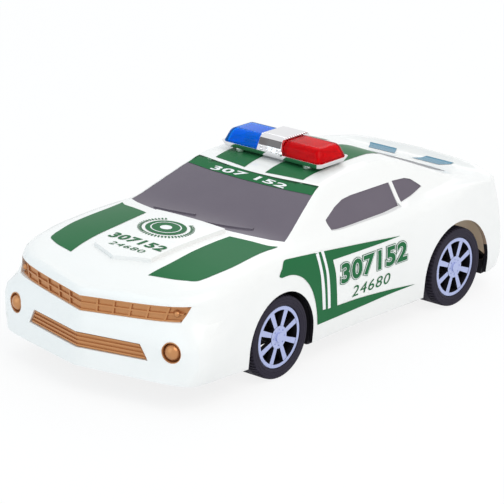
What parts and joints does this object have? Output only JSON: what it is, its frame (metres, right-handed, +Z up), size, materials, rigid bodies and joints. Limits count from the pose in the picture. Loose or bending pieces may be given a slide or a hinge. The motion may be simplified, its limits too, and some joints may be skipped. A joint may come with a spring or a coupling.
{
  "type": "toy police car",
  "caption": "Battery-driven toy coupe with a moulded shell, chromed roof light bar, rolling wheels on through axles, and a geared rear-axle drive.",
  "frame": {"origin": "on the ground under the middle of the car's bounding box", "axes": "+X towards the nose, +Y towards the car's left side, +Z up"},
  "size_m": [0.2597, 0.1242, 0.0914],
  "materials": {
    "white_plastic": "gloss",
    "smoky_pane": "gloss",
    "copper_plastic": "metallic paint",
    "lamp_red": "gloss",
    "plated_plastic": "chrome plated",
    "clear_red": "clear",
    "clear_blue": "clear",
    "diode_clear": "clear",
    "steel": "satin",
    "black_plastic": "matt",
    "cell_can": "printed sleeve",
    "switch_red": "gloss",
    "board_green": "satin",
    "ivory_plastic": "satin",
    "motor_can": "satin",
    "brass": "satin",
    "tyre": "matt",
    "wheel_plastic": "satin"
  },
  "bodies": {
    "car_body": {"body_shell": "white_plastic", "windshield": "smoky_pane", "rear_window": "smoky_pane", "left_door_window": "smoky_pane", "right_door_window": "smoky_pane", "left_quarter_window": "smoky_pane", "right_quarter_window": "smoky_pane", "upper_grille": "copper_plastic", "lower_grille": "copper_plastic", "left_fog_lamp": "copper_plastic", "right_fog_lamp": "copper_plastic", "left_tail_lamp": "lamp_red", "right_tail_lamp": "lamp_red", "lightbar_base": "plated_plastic", "lightbar_bridge": "plated_plastic", "red_lens": "clear_red", "blue_lens": "clear_blue", "red_reflector": "plated_plastic", "blue_reflector": "plated_plastic", "red_diode": "diode_clear", "blue_diode": "diode_clear", "lightbar_screws": "steel", "chassis": "black_plastic", "cells": "cell_can", "battery_contacts": "steel", "power_switch_body": "black_plastic", "circuit_board": "board_green", "board_screws": "steel", "speaker": "black_plastic", "body_screws": "steel", "gear_shaft": "steel", "motor": "motor_can", "left_gear_plate": "ivory_plastic", "right_gear_plate": "ivory_plastic", "gearbox_spacers": "ivory_plastic", "gearbox_screws": "steel"},
    "front_wheels": {"front_axle": "steel", "front_left_rim": "wheel_plastic", "front_right_rim": "wheel_plastic", "front_left_tyre": "tyre", "front_right_tyre": "tyre"},
    "rear_wheels": {"rear_axle": "steel", "rear_left_rim": "wheel_plastic", "rear_right_rim": "wheel_plastic", "rear_left_tyre": "tyre", "rear_right_tyre": "tyre", "axle_gear": "ivory_plastic"},
    "gear_stage": {"compound_gear": "ivory_plastic"},
    "motor_rotor": {"motor_spindle": "steel", "motor_pinion": "brass"},
    "switch_slider": {"power_switch_knob": "switch_red"},
    "battery_cover": {"battery_door": "black_plastic", "battery_door_screw": "steel"}
  },
  "joints": [
    {"name": "front_axle_spin", "type": "hinge", "parent": "car_body", "child": "front_wheels", "pos_m": [0.0536, 0, 0.02], "axis": [0, 1, 0], "continuous": true},
    {"name": "rear_axle_spin", "type": "hinge", "parent": "car_body", "child": "rear_wheels", "pos_m": [-0.0814, 0, 0.02], "axis": [0, 1, 0], "continuous": true},
    {"name": "gear_stage_spin", "type": "hinge", "parent": "car_body", "child": "gear_stage", "pos_m": [-0.07012, 0, 0.0241], "axis": [0, 1, 0], "continuous": true},
    {"name": "motor_spin", "type": "hinge", "parent": "car_body", "child": "motor_rotor", "pos_m": [-0.05831, 0, 0.02202], "axis": [0, 1, 0], "continuous": true},
    {"name": "power_switch_slide", "type": "slide", "parent": "car_body", "child": "switch_slider", "axis": [1, 0, 0], "range_m": [0, 0.004]},
    {"name": "battery_door_lift", "type": "slide", "parent": "car_body", "child": "battery_cover", "axis": [0, 0, -1], "range_m": [0, 0.012]}
  ],
  "couplings": [
    {"joint": "gear_stage_spin", "follows": "rear_axle_spin", "ratio": -2.3333},
    {"joint": "motor_spin", "follows": "rear_axle_spin", "ratio": 7}
  ]
}
